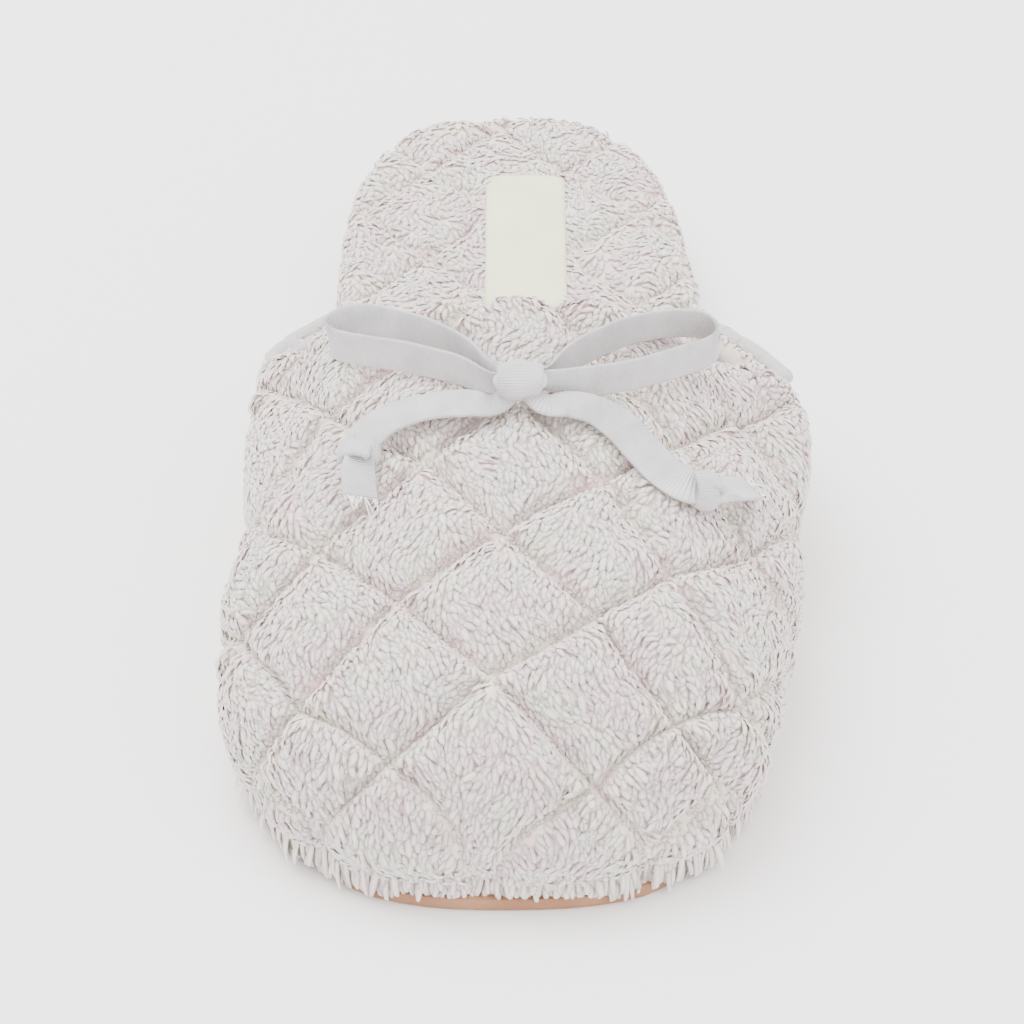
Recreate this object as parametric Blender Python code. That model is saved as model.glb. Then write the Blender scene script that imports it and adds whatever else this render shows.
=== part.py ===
"""A left terry scuff: a quilted plush vamp on a flat sole, with a padded footbed and a ribbon bow.

Frame: metres, +Z up, the sole on z = 0, the toe towards -Y, the outer (lateral) side towards +X,
and the origin on the floor at the middle of the sole's length. A station is a distance behind the
sole's toe tip, along +Y.
"""

import math

import bmesh
import bpy
import numpy as np
from mathutils import Vector

GAP = 0.0003                # what touching pieces keep between their faces

# Sole outline, as half widths each side of the centre line.
SOLE_LENGTH = 0.260
TOE_INNER = 0.0515
TOE_OUTER = 0.0452
BALL_INNER = 0.0527
BALL_OUTER = 0.0545
WAIST_INNER = 0.0365
WAIST_OUTER = 0.0395
HEEL_INNER = 0.0364
HEEL_OUTER = 0.0376
TOE_STATION = 0.018         # behind the toe tip
INNER_BALL_STATION = 0.056
OUTER_BALL_STATION = 0.075
WAIST_FROM_HEEL = 0.086     # ahead of the heel's back
HEEL_FROM_BACK = 0.048
INNER_TOE_SPAN = 0.056      # length of the rounded toe, on each side
OUTER_TOE_SPAN = 0.040
INNER_TOE_FULLNESS = 2.4    # 2 is an ellipse, more is squarer
OUTER_TOE_FULLNESS = 2.8
TOE_SHIFT = 0.0030          # toe apex towards the big toe
HEEL_SPAN = 0.074
HEEL_FULLNESS = 2.7
HEEL_SHIFT = 0.0010         # heel's back towards the inner side

SOLE_THICKNESS = 0.0030
SOLE_EDGE_RADIUS = 0.0008
SOLE_INSET = 0.0026         # how far the outsole hides under the upper, away from the toe tip
SOLE_INSET_START = 0.0035
SOLE_INSET_RUN = 0.0100

# Footbed: a foam platform with a quilted pad on it.
PLATFORM_THICKNESS = 0.0088
PAD_THICKNESS = 0.0090
PAD_EDGE_RADIUS = 0.0048
HEEL_OVERHANG = 0.0022      # how far the wrapped platform stands out over the sole

# Upper: one padded wall, pile included.
WALL = 0.0080
WALL_AT_WING = 0.0032
TOE_BULGE = 0.0034          # how far the wall swells out over the sole, by place
TOE_CORNER_BULGE = 0.0062
TOE_CORNER_STATION = 0.016
BALL_BULGE = 0.0036
FLARE_START = 0.076         # station from which the sides lean out towards the collar
INNER_CORNER_BULGE = 0.0128
OUTER_CORNER_BULGE = 0.0138
WING_BULGE = 0.0018
TOE_BULGE_HEIGHT = 0.0115
BALL_BULGE_HEIGHT = 0.0220
CORNER_BULGE_HEIGHT = 0.0310
WING_BULGE_HEIGHT = 0.0130
THROAT_STATION = 0.1175     # the collar's highest point
THROAT_HEIGHT = 0.0630
THROAT_ACROSS = 0.0040
WING_END = 0.1780           # where the collar runs down into the footbed
INNER_CORNER = Vector((-0.0515, 0.1335, 0.0375))
OUTER_CORNER = Vector((0.0570, 0.1250, 0.0385))
INSTEP_SLOPE = 0.145        # fall of the vamp just ahead of the throat
SHOULDER = 0.64             # how high the wall climbs before it turns over, of its own height
CROWN = 0.58                # how far the vamp's top reaches out from the collar, of its own reach
STEEPEST = 0.40             # most that the top falls over that reach, of the wall's height there
WALL_STEPS = 84             # facets round the sole edge
SOLE_FACETS = 120
FRONT_FACETS = 72           # round the footbed inside the upper
HEEL_FACETS = 20            # on each side of the heel
PROFILE_STEPS = 13          # facets up each face of the wall
RIM_STEPS = 5

# Woven label on the heel pad.
LABEL_WIDTH = 0.0182
LABEL_LENGTH = 0.0560
LABEL_THICKNESS = 0.0006
LABEL_BACK = 0.2307         # station of its rear edge
LABEL_ACROSS = 0.0031

# Bow of flat ribbon, tied on the vamp. Each row of a route is the ribbon's middle: across, station
# and height in millimetres, and how far its width leans up from level, in degrees.
RIBBON_WIDTH = 0.0070
RIBBON_THICKNESS = 0.0009
RIBBON_PINCH = 0.0044       # its width where the knot gathers it
KNOT_CENTRE = Vector((0.0016, 0.0852, 0.0629))
KNOT_RADII = Vector((0.0050, 0.0036, 0.0040))
TAIL_KNOT_THICKNESS = 0.0036
TAIL_KNOT_LENGTH = 0.0070
INNER_LOOP = [
    (-3.9, 88.2, 62.3, 90), (-9.0, 95.5, 62.6, 90), (-16.4, 103.0, 61.9, 84), (-23.5, 108.6, 60.4, 76),
    (-29.5, 112.6, 58.9, 70), (-34.2, 114.0, 57.2, 70), (-37.0, 112.4, 56.0, 80), (-35.8, 108.8, 55.9, 90),
    (-29.1, 102.8, 58.2, 90), (-21.0, 98.0, 59.9, 90), (-11.0, 91.4, 61.4, 90), (-4.0, 86.3, 62.0, 90),
]
OUTER_LOOP = [
    (7.2, 88.4, 62.3, 90), (12.5, 94.4, 62.8, 90), (20.5, 102.0, 62.3, 88), (28.0, 108.2, 60.6, 84),
    (34.8, 112.6, 58.4, 80), (39.2, 113.6, 56.8, 80), (41.6, 111.2, 55.4, 86), (40.0, 107.6, 55.0, 90),
    (33.6, 100.8, 57.0, 90), (25.2, 92.4, 59.8, 90), (15.5, 87.2, 61.4, 90), (7.3, 86.0, 62.0, 90),
]
INNER_TAIL = [
    (-3.6, 81.4, 60.0, 10), (-8.0, 82.2, 59.6, 14), (-13.0, 83.4, 58.5, 14), (-18.0, 83.8, 57.2, 12),
    (-22.6, 83.0, 56.0, 10), (-26.6, 80.8, 55.0, 10), (-29.2, 77.0, 54.0, 14), (-30.0, 72.0, 53.2, 18),
    (-29.8, 67.2, 52.2, 18), (-29.3, 62.4, 51.1, 18),
]
OUTER_TAIL = [
    (6.8, 81.6, 60.0, -10), (11.5, 81.6, 59.8, -12), (16.8, 80.4, 58.9, -16), (21.2, 77.4, 57.4, -20),
    (25.0, 72.8, 55.6, -22), (29.6, 67.4, 53.6, -24), (34.2, 64.4, 52.2, -26), (38.6, 65.4, 50.4, -20),
    (42.8, 69.2, 48.2, -16), (47.0, 73.2, 45.6, -14),
]


def clear_scene():
    for obj in list(bpy.data.objects):
        bpy.data.objects.remove(obj, do_unlink=True)


def new_collection(name):
    collection = bpy.data.collections.new(name)
    bpy.context.scene.collection.children.link(collection)
    return collection


def new_material(name, color, roughness):
    material = bpy.data.materials.new(name)
    material.use_nodes = True
    shader = material.node_tree.nodes["Principled BSDF"]
    shader.inputs["Base Color"].default_value = (*color, 1.0)
    shader.inputs["Roughness"].default_value = roughness
    shader.inputs["Metallic"].default_value = 0.0
    return material


def add_object(name, mesh_or_bmesh, material, collection):
    if isinstance(mesh_or_bmesh, bmesh.types.BMesh):
        mesh = bpy.data.meshes.new(name)
        mesh_or_bmesh.to_mesh(mesh)
        mesh_or_bmesh.free()
    else:
        mesh = mesh_or_bmesh
    mesh.materials.append(material)
    mesh.shade_smooth()
    mesh.set_sharp_from_angle(angle=math.radians(40))
    obj = bpy.data.objects.new(name, mesh)
    collection.objects.link(obj)
    return obj


def ease(t):
    """0 to 1 with level ends."""
    t = min(1.0, max(0.0, t))
    return t * t * (3 - 2 * t)


def through(keys, x):
    """Value at x of a curve that is level at each (x, value) key."""
    if x <= keys[0][0]:
        return keys[0][1]
    for (x0, v0), (x1, v1) in zip(keys, keys[1:]):
        if x <= x1:
            return v0 + (v1 - v0) * ease((x - x0) / (x1 - x0))
    return keys[-1][1]


# ---------------------------------------------------------------- the sole outline

def half_width(station, side):
    """Half width of the sole on one side: -1 is the inner side, 1 the outer."""
    inner = side < 0
    toe_body, ball, waist, heel = (
        (TOE_INNER, BALL_INNER, WAIST_INNER, HEEL_INNER)
        if inner
        else (TOE_OUTER, BALL_OUTER, WAIST_OUTER, HEEL_OUTER)
    )
    body = through(
        [
            (TOE_STATION, toe_body),
            (INNER_BALL_STATION if inner else OUTER_BALL_STATION, ball),
            (SOLE_LENGTH - WAIST_FROM_HEEL, waist),
            (SOLE_LENGTH - HEEL_FROM_BACK, heel),
        ],
        station,
    )
    toe = max(0.0, 1 - station / (INNER_TOE_SPAN if inner else OUTER_TOE_SPAN))
    back = max(0.0, 1 - (SOLE_LENGTH - station) / HEEL_SPAN)
    fullness = INNER_TOE_FULLNESS if inner else OUTER_TOE_FULLNESS
    toe_share = (1 - toe**fullness) ** (1 / fullness)
    heel_share = (1 - back**HEEL_FULLNESS) ** (1 / HEEL_FULLNESS)
    return body * toe_share * heel_share


def outline_point(turn):
    """Point on the sole outline: turn 0 is the toe tip, +-1 the heel's back, positive on the outer side."""
    station = SOLE_LENGTH * (1 - math.cos(math.pi * min(1.0, abs(turn)))) / 2
    side = -1 if turn < 0 else 1
    shift = TOE_SHIFT * max(0.0, 1 - station / OUTER_BALL_STATION) ** 2
    shift += HEEL_SHIFT * ease(1 - (SOLE_LENGTH - station) / HEEL_SPAN)
    return Vector((side * half_width(station, side) - shift, station - SOLE_LENGTH / 2, 0.0))


def turn_at(station):
    return math.acos(1 - 2 * station / SOLE_LENGTH) / math.pi


def evenly(curve, start, end, count):
    """The parameters that cut curve(start..end) into count equal lengths."""
    dense = np.linspace(start, end, 1201)
    points = np.array([curve(value) for value in dense])
    length = np.concatenate([[0], np.cumsum(np.linalg.norm(np.diff(points, axis=0), axis=1))])
    return np.interp(np.linspace(0, length[-1], count + 1), length, dense)


def outward(turn):
    """Level direction out of the sole outline."""
    step = 0.0015
    along = outline_point(turn + step) - outline_point(turn - step)
    return Vector((along.y, -along.x, 0)).normalized()


def station_of(turn):
    return SOLE_LENGTH * (1 - math.cos(math.pi * abs(turn))) / 2


def lofted(rows):
    """A closed solid skinned over rows of points, each row a ring."""
    across, along = len(rows), len(rows[0])
    bm = bmesh.new()
    bmesh.ops.create_grid(bm, x_segments=across - 1, y_segments=along, size=0.5)
    bm.verts.ensure_lookup_table()
    for vert in bm.verts:
        i = round((vert.co.x + 0.5) * (across - 1))
        j = round((vert.co.y + 0.5) * along)
        vert.co = rows[i][j % along]
    bmesh.ops.remove_doubles(bm, verts=bm.verts, dist=1e-7)
    bmesh.ops.holes_fill(bm, edges=[edge for edge in bm.edges if edge.is_boundary], sides=0)
    bmesh.ops.recalc_face_normals(bm, faces=bm.faces)
    return bm


def sole_slab(turns, offset, layers):
    """A solid with the sole's plan: offset(turn, height) moves its edge out, layers are (inset, height)."""
    rows = []
    for inset, height in layers:
        row = []
        for turn in turns:
            point = outline_point(turn) + outward(turn) * (offset(turn, height) - inset)
            row.append(Vector((point.x, point.y, height)))
        rows.append(row)
    return lofted(rows)


def rounded(inset, low, high, radius, steps):
    """Layers of a top edge rounded over, from its side at low up to high."""
    turn = [math.pi / 2 * k / steps for k in range(steps + 1)]
    return [(inset, low)] + [
        (inset + radius * (1 - math.cos(a)), high - radius + radius * math.sin(a)) for a in turn
    ]


# ---------------------------------------------------------------- sole and footbed

UPPER_BASE = SOLE_THICKNESS + GAP
PLATFORM_TOP = UPPER_BASE + PLATFORM_THICKNESS
PAD_BASE = PLATFORM_TOP + GAP
PAD_TOP = PAD_BASE + PAD_THICKNESS
UPPER_SET_IN = 0.0005       # wall's outer foot, inside the sole's edge
WALL_CLEARANCE = 0.0011     # between the footbed's side and the wall round it
STEP_LENGTH = 0.0030        # over which the footbed widens behind the wing's end
WALL_TAPER = 0.0400         # over which the wall thins towards the wing's end


def wall_at(station):
    start = WING_END - WALL_TAPER
    return WALL + (WALL_AT_WING - WALL) * ease((station - start) / WALL_TAPER)


def wall_inside(wall, turn, height):
    """How far the wall's inner face stands out from the sole's edge, at a place and a height."""
    turns, reaches = wall
    at = float(np.interp(turn, turns, np.arange(len(turns))))
    low = min(int(at), len(turns) - 2)
    near = [float(np.interp(height, zs, outs)) for outs, zs in reaches[low:low + 2]]
    return near[0] + (near[1] - near[0]) * (at - low)


def platform_offset(wall, turn, height):
    """Where the footbed's side runs against the sole's edge: inside the wall, then out over the heel."""
    end = math.copysign(turn_at(WING_END), turn)
    inside = wall_inside(wall, max(-abs(end), min(abs(end), turn)), height) - WALL_CLEARANCE
    past = (station_of(turn) - WING_END - 2 * GAP) / STEP_LENGTH
    return inside + (HEEL_OVERHANG - inside) * ease(past)


def outsole_offset(turn, height):
    """The outsole shows at the toe tip and hides under the plush everywhere else."""
    return -SOLE_INSET * ease((station_of(turn) - SOLE_INSET_START) / SOLE_INSET_RUN)


def make_outsole(material, collection):
    r = SOLE_EDGE_RADIUS
    layers = [(r, 0.0), (r * 0.3, r * 0.3), (0.0, r)] + rounded(0.0, r, SOLE_THICKNESS, r, 2)[1:]
    turns = evenly(outline_point, -1.0, 1.0, SOLE_FACETS)[:-1]
    return add_object("outsole", sole_slab(turns, outsole_offset, layers), material, collection)


def footbed_turns():
    """Places round the footbed's edge, with corners of their own where it steps out behind the wings."""
    step = WING_END + 2 * GAP
    inside, start, end = turn_at(WING_END - GAP), turn_at(step), turn_at(step + STEP_LENGTH)
    heel = list(evenly(outline_point, end, 1.0, HEEL_FACETS))
    corner = list(np.linspace(start, end, 4))[:-1]
    front = list(evenly(outline_point, -inside, inside, FRONT_FACETS))
    back = corner + heel
    return [-turn for turn in back[::-1]][1:] + front + back


def make_midsole(wall, material, collection):
    middle = (UPPER_BASE + PLATFORM_TOP) / 2
    layers = [(0.0, UPPER_BASE), (0.0, middle), (0.0, PLATFORM_TOP)]
    slab = sole_slab(footbed_turns(), lambda turn, height: platform_offset(wall, turn, height), layers)
    return add_object("midsole", slab, material, collection)


def make_insole(wall, material, collection):
    layers = rounded(0.0, PAD_BASE, PAD_TOP, PAD_EDGE_RADIUS, 4)
    slab = sole_slab(footbed_turns(), lambda turn, height: platform_offset(wall, turn, height), layers)
    return add_object("insole", slab, material, collection)


# ---------------------------------------------------------------- the upper

def collar_points():
    """The crest of the collar, from the inner wing's end over the throat to the outer wing's end."""
    throat = Vector((THROAT_ACROSS, THROAT_STATION, THROAT_HEIGHT))
    ends = []
    for side in (-1, 1):
        reach = half_width(WING_END, side) + WING_BULGE * 0.5
        ends.append(Vector((side * reach, WING_END, PAD_TOP)))

    def wing(end, corner):
        # Three tenths and two thirds of the way down the wing, a little below the straight line.
        return [end, end.lerp(corner, 0.30) - Vector((0, 0, 0.0006)), end.lerp(corner, 0.66)]

    def arch(corner, rows):
        # Each row is how far out, how far back and how high, as shares from throat to corner.
        return [
            Vector(
                (
                    throat.x + (corner.x - throat.x) * out,
                    throat.y + (corner.y - throat.y) * back,
                    corner.z + (throat.z - corner.z) * high,
                )
            )
            for out, back, high in rows
        ]

    inner = arch(INNER_CORNER, [(0.88, 0.64, 0.30), (0.69, 0.38, 0.62), (0.40, 0.10, 0.89)])
    outer = arch(OUTER_CORNER, [(0.34, 0.0, 0.88), (0.57, 0.22, 0.60), (0.70, 0.60, 0.27), (0.84, 0.9, 0.12)])
    points = wing(ends[0], INNER_CORNER) + [INNER_CORNER] + inner + [throat] + outer
    points += [OUTER_CORNER] + wing(ends[1], OUTER_CORNER)[::-1]
    return [Vector((p.x, p.y - SOLE_LENGTH / 2, p.z)) for p in points]


def smooth_path(points, steps=24):
    """A smooth line through every point, as steps pieces from each to the next."""
    handles = []
    last = len(points) - 1
    for i, p in enumerate(points):
        before, after = points[max(i - 1, 0)], points[min(i + 1, last)]
        direction = (after - before).normalized()
        handles.append((direction * (p - before).length / 3, direction * (after - p).length / 3))
    path = []
    for i in range(last):
        for k in range(steps):
            t = k / steps
            a, d = points[i], points[i + 1]
            b, c = a + handles[i][1], d - handles[i + 1][0]
            path.append(a * (1 - t) ** 3 + b * 3 * t * (1 - t) ** 2 + c * 3 * t * t * (1 - t) + d * t**3)
    path.append(points[last].copy())
    return path


def lengths(points):
    steps = [0.0] + [(b - a).length for a, b in zip(points, points[1:])]
    return np.cumsum(steps)


def place_at(points, length, want):
    """Points at the wanted lengths along a line."""
    table = np.array([tuple(p) for p in points])
    return [Vector([float(np.interp(w, length, table[:, k])) for k in range(3)]) for w in want]


def collar_partners(turns):
    """For each place on the sole edge, its partner on the collar's crest."""
    points = collar_points()
    crest = smooth_path(points)
    length = lengths(crest)
    corners = [i for i, p in enumerate(crest) if min((p - c).length for c in (points[3], points[-4])) < 1e-6]
    edge = [outline_point(turn) for turn in turns]
    along = lengths(edge)
    foot = [
        float(np.interp(math.copysign(turn_at(corner.y), corner.x), turns, along))
        for corner in (INNER_CORNER, OUTER_CORNER)
    ]
    keys = [0.0, foot[0], foot[1], float(along[-1])]
    values = [0.0, float(length[corners[0]]), float(length[corners[1]]), float(length[-1])]
    dense = np.linspace(0, along[-1], 800)
    mapped = np.interp(dense, keys, values)
    reach = 64
    for _ in range(3):
        # Averaged with its mirror past each end, so that the ends stay put.
        padded = np.concatenate([
            2 * mapped[0] - mapped[reach:0:-1], mapped, 2 * mapped[-1] - mapped[-2:-reach - 2:-1]
        ])
        mapped = np.convolve(padded, np.ones(2 * reach + 1) / (2 * reach + 1), "valid")
    reached = np.interp(along, dense, mapped)
    return place_at(crest, length, reached), reached / length[-1]


def wall_profile(turn, crest, share):
    """Outer face of the wall in one place, from its foot on the sole to the collar's crest."""
    station = station_of(turn)
    corner, corner_bulge = (
        (INNER_CORNER, INNER_CORNER_BULGE) if turn < 0 else (OUTER_CORNER, OUTER_CORNER_BULGE)
    )
    bulge = through(
        [
            (0.0, TOE_BULGE),
            (TOE_CORNER_STATION, TOE_CORNER_BULGE),
            (FLARE_START, BALL_BULGE),
            (corner.y, corner_bulge),
        ],
        station,
    )
    wing = max(0.0, (station - corner.y) / (WING_END - corner.y))
    bulge += (WING_BULGE - bulge) * wing**2.6
    height = through(
        [
            (0.0, TOE_BULGE_HEIGHT),
            (INNER_BALL_STATION, BALL_BULGE_HEIGHT),
            (corner.y, CORNER_BULGE_HEIGHT),
            (WING_END, WING_BULGE_HEIGHT),
        ],
        station,
    )
    out = outward(turn)
    edge = outline_point(turn)
    foot = edge - out * UPPER_SET_IN + Vector((0, 0, UPPER_BASE))
    widest = edge + out * bulge + Vector((0, 0, min(height, crest.z - 0.004)))
    low = Vector((widest.x, widest.y, UPPER_BASE + 0.3 * (widest.z - UPPER_BASE)))
    level = widest - crest
    level.z = 0
    rise = crest.z - widest.z
    slope = through([(0.0, 1.1), (0.2, 0.75), (0.5, INSTEP_SLOPE), (0.8, 0.75), (1.0, 1.1)], share)
    over = crest + level * CROWN
    over.z = crest.z - min(slope * level.length * CROWN, STEEPEST * rise)
    up = widest + Vector((0, 0, SHOULDER * rise))
    line = [foot.lerp(low, t).lerp(low.lerp(widest, t), t) for t in (k / 24 for k in range(24))]
    for k in range(121):
        t = k / 120
        line.append(
            widest * (1 - t) ** 3 + up * 3 * t * (1 - t) ** 2 + over * 3 * t * t * (1 - t) + crest * t**3
        )
    return line


def wall_rows():
    """The wall's section in each place: its outer face up, the rim over, its inner face down."""
    end = turn_at(WING_END)
    turns = evenly(outline_point, -end, end, WALL_STEPS)
    crests, shares = collar_partners(turns)
    outer = []
    for turn, crest, share in zip(turns, crests, shares):
        line = wall_profile(turn, crest, share)
        length = lengths(line)
        stop = length[-1] - wall_at(station_of(turn)) / 2
        outer.append([tuple(p) for p in place_at(line, length, np.linspace(0, stop, PROFILE_STEPS + 1))])
    outer = np.array(outer)
    normal = np.cross(np.gradient(outer, axis=0), np.gradient(outer, axis=1))
    normal /= np.linalg.norm(normal, axis=2, keepdims=True)
    normal[:, 0, :] = [tuple(outward(turn)) for turn in turns]
    rows, reaches = [], []
    for i, turn in enumerate(turns):
        wall = wall_at(station_of(turn))
        face = [Vector(p) for p in outer[i]]
        back = [p - Vector(n) * wall for p, n in zip(face, normal[i])]
        middle = (face[-1] + back[-1]) / 2
        side = face[-1] - middle
        onward = (face[-1] - face[-2]).normalized() * side.length
        rim = [
            middle + side * math.cos(math.pi * k / RIM_STEPS) + onward * math.sin(math.pi * k / RIM_STEPS)
            for k in range(1, RIM_STEPS)
        ]
        rows.append(face + rim + back[::-1])
        reach = [(p - outline_point(turn)).dot(outward(turn)) for p in back]
        climb = [p.z for p in back]
        top = climb.index(max(climb)) + 1
        reaches.append((reach[:top], climb[:top]))
    return rows, (turns, reaches)


def make_label(material, collection):
    bm = bmesh.new()
    bmesh.ops.create_cube(bm, size=1.0)
    bmesh.ops.scale(bm, vec=(LABEL_WIDTH, LABEL_LENGTH, LABEL_THICKNESS), verts=bm.verts)
    middle = LABEL_BACK - LABEL_LENGTH / 2 - SOLE_LENGTH / 2
    lift = PAD_TOP + GAP + LABEL_THICKNESS / 2
    bmesh.ops.translate(bm, vec=(LABEL_ACROSS, middle, lift), verts=bm.verts)
    return add_object("label", bm, material, collection)


# ---------------------------------------------------------------- the bow

def ribbon(name, route, sizes, material, collection):
    """A flat band along a route. sizes(length so far, length left) is its width and thickness there."""
    points = [Vector((x / 1000, y / 1000 - SOLE_LENGTH / 2, z / 1000)) for x, y, z, _ in route]
    path = smooth_path(points, 4)
    length = lengths(path)
    leans = np.interp(np.arange(len(path)) / 4, np.arange(len(route)), [row[3] for row in route])
    rows = []
    for i, point in enumerate(path):
        along = (path[min(i + 1, len(path) - 1)] - path[max(i - 1, 0)]).normalized()
        level = along.cross(Vector((0, 0, 1))).normalized()
        lean = math.radians(float(leans[i]))
        # Towards the toe or the middle is down the ribbon's lean, so a positive lean lifts its back edge.
        across = level * math.cos(lean) + Vector((0, 0, 1)) * math.sin(lean)
        across = (across - along * across.dot(along)).normalized()
        face = along.cross(across)
        width, thickness = sizes(float(length[i]), float(length[-1] - length[i]))
        w, t = across * (width / 2), face * (thickness / 2)
        rows.append([point + w + t, point - w + t, point - w - t, point + w - t])
    return add_object(name, lofted(rows), material, collection)


def loop_sizes(done, left):
    width = RIBBON_PINCH + (RIBBON_WIDTH - RIBBON_PINCH) * ease(min(done, left) / 0.012)
    return width, RIBBON_THICKNESS


def tail_sizes(done, left):
    """The ribbon swells where an overhand knot stops its end, 11 mm short of the tip."""
    width = RIBBON_PINCH + (RIBBON_WIDTH - RIBBON_PINCH) * ease(done / 0.012)
    swell = ease(1 - abs(left - 0.0110) / TAIL_KNOT_LENGTH)
    return width, RIBBON_THICKNESS + (TAIL_KNOT_THICKNESS - RIBBON_THICKNESS) * swell


def make_knot(material, collection):
    bm = bmesh.new()
    bmesh.ops.create_uvsphere(bm, u_segments=20, v_segments=12, radius=1.0)
    bmesh.ops.scale(bm, vec=KNOT_RADII, verts=bm.verts)
    bmesh.ops.translate(bm, vec=KNOT_CENTRE - Vector((0, SOLE_LENGTH / 2, 0)), verts=bm.verts)
    return add_object("bow_knot", bm, material, collection)


def main():
    clear_scene()
    slipper = new_collection("terry_slipper")
    tan_rubber = new_material("sole_rubber", (0.45, 0.25, 0.15), 0.7)
    plush = new_material("plush", (0.68, 0.65, 0.62), 0.95)
    footbed_plush = new_material("footbed_plush", (0.63, 0.60, 0.57), 0.95)
    wrap = new_material("platform_wrap", (0.62, 0.59, 0.56), 0.95)
    woven = new_material("woven_label", (0.80, 0.82, 0.70), 0.8)
    rows, wall = wall_rows()
    make_outsole(tan_rubber, slipper)
    make_midsole(wall, wrap, slipper)
    make_insole(wall, footbed_plush, slipper)
    add_object("upper", lofted(rows), plush, slipper)
    make_label(woven, slipper)
    grosgrain = new_material("grosgrain_ribbon", (0.66, 0.65, 0.65), 0.6)
    make_knot(grosgrain, slipper)
    ribbon("bow_loop_inner", INNER_LOOP, loop_sizes, grosgrain, slipper)
    ribbon("bow_loop_outer", OUTER_LOOP, loop_sizes, grosgrain, slipper)
    ribbon("bow_tail_inner", INNER_TAIL, tail_sizes, grosgrain, slipper)
    ribbon("bow_tail_outer", OUTER_TAIL, tail_sizes, grosgrain, slipper)


main()
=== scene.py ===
"""Left terry slipper: quilted plush upper and footbed, thin tan sole, blank woven label and a ribbon bow."""

import math

import bmesh
import bpy
import numpy as np
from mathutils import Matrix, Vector, noise


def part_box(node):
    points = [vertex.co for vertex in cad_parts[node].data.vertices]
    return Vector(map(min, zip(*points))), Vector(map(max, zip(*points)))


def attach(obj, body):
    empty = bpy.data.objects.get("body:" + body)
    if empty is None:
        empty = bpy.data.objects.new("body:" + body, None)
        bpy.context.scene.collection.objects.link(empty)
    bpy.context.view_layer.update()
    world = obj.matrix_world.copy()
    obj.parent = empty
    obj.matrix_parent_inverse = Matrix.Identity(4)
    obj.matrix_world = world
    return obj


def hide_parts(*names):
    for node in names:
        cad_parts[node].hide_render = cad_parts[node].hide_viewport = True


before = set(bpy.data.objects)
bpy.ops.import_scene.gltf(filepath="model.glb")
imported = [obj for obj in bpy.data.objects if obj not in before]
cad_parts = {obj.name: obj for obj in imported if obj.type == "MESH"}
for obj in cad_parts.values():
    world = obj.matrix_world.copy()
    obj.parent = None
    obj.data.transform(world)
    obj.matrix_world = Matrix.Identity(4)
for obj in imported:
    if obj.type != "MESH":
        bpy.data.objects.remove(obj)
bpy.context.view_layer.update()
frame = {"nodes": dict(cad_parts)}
nodes = frame["nodes"]
scene = bpy.context.scene

# ---- camera: looks down on the shoe from in front of the toe
CAMERA_ELEVATION = math.radians(36)
CAMERA_DISTANCE = 0.8
CAMERA_TARGET = Vector((0, -0.029665, 0.020))
camera = bpy.data.objects.new("camera", bpy.data.cameras.new("camera"))
scene.collection.objects.link(camera)
scene.camera = camera
toward_camera = Vector((0, -math.cos(CAMERA_ELEVATION), math.sin(CAMERA_ELEVATION)))
camera.location = CAMERA_TARGET + CAMERA_DISTANCE * toward_camera
camera.rotation_euler = (CAMERA_TARGET - camera.location).to_track_quat("-Z", "Y").to_euler()
camera.data.sensor_width = 36
camera.data.lens = 136.69
camera.data.clip_start = 0.01

# ---- the ribbon: a limp grosgrain band 7 mm wide, woven with fine ribs across it. It is tied in a bow
# on the vamp: two loops stand on edge, and two tails lie down on the pile, each stopped by a knot.
HALF_SOLE = 0.130           # a station is measured from the toe tip, and the sole's middle is at y = 0
RIBBON_WIDTH = 0.0070
RIBBON_THICKNESS = 0.00055
RIBBON_PINCH = 0.0044       # its width where it is gathered under the knot
RIBBON_CUP = 0.0012         # how far it cups there
PINCH_REACH = 0.012         # how far from the knot it takes to spread out
# Each row of a route: across, station and height in millimetres, and the band's lean in degrees.
INNER_LOOP = [
    (-3.9, 88.2, 62.3, 90), (-9.0, 95.5, 62.6, 90), (-16.4, 103.0, 61.9, 84), (-23.5, 108.6, 60.4, 76),
    (-29.5, 112.6, 58.9, 70), (-34.2, 114.0, 57.2, 70), (-37.0, 112.4, 56.0, 80), (-35.8, 108.8, 55.9, 90),
    (-29.1, 102.8, 58.2, 90), (-21.0, 98.0, 59.9, 90), (-11.0, 91.4, 61.4, 90), (-4.0, 86.3, 62.0, 90),
]
OUTER_LOOP = [
    (7.2, 88.4, 62.3, 90), (12.5, 94.4, 62.8, 90), (20.5, 102.0, 62.3, 88), (28.0, 108.2, 60.6, 84),
    (34.8, 112.6, 58.4, 80), (39.2, 113.6, 56.8, 80), (41.6, 111.2, 55.4, 86), (40.0, 107.6, 55.0, 90),
    (33.6, 100.8, 57.0, 90), (25.2, 92.4, 59.8, 90), (15.5, 87.2, 61.4, 90), (7.3, 86.0, 62.0, 90),
]
INNER_TAIL = [
    (-3.6, 81.4, 60.0, 10), (-8.0, 82.2, 59.6, 14), (-13.0, 83.4, 58.5, 14), (-18.0, 83.8, 57.2, 12),
    (-22.6, 83.0, 56.0, 10), (-26.6, 80.8, 55.0, 10), (-29.2, 77.0, 54.0, 14), (-30.0, 72.0, 53.2, 18),
    (-29.8, 67.2, 52.2, 18), (-29.3, 62.4, 51.1, 18),
]
OUTER_TAIL = [
    (6.8, 81.6, 60.0, -10), (11.5, 81.6, 59.8, -12), (16.8, 80.4, 58.9, -16), (21.2, 77.4, 57.4, -20),
    (25.0, 72.8, 55.6, -22), (29.6, 67.4, 53.6, -24), (34.2, 64.4, 52.2, -26), (38.6, 65.4, 50.4, -20),
    (42.8, 69.2, 48.2, -16), (47.0, 73.2, 45.6, -14),
]
KNOT_STATION = 85.2
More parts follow.
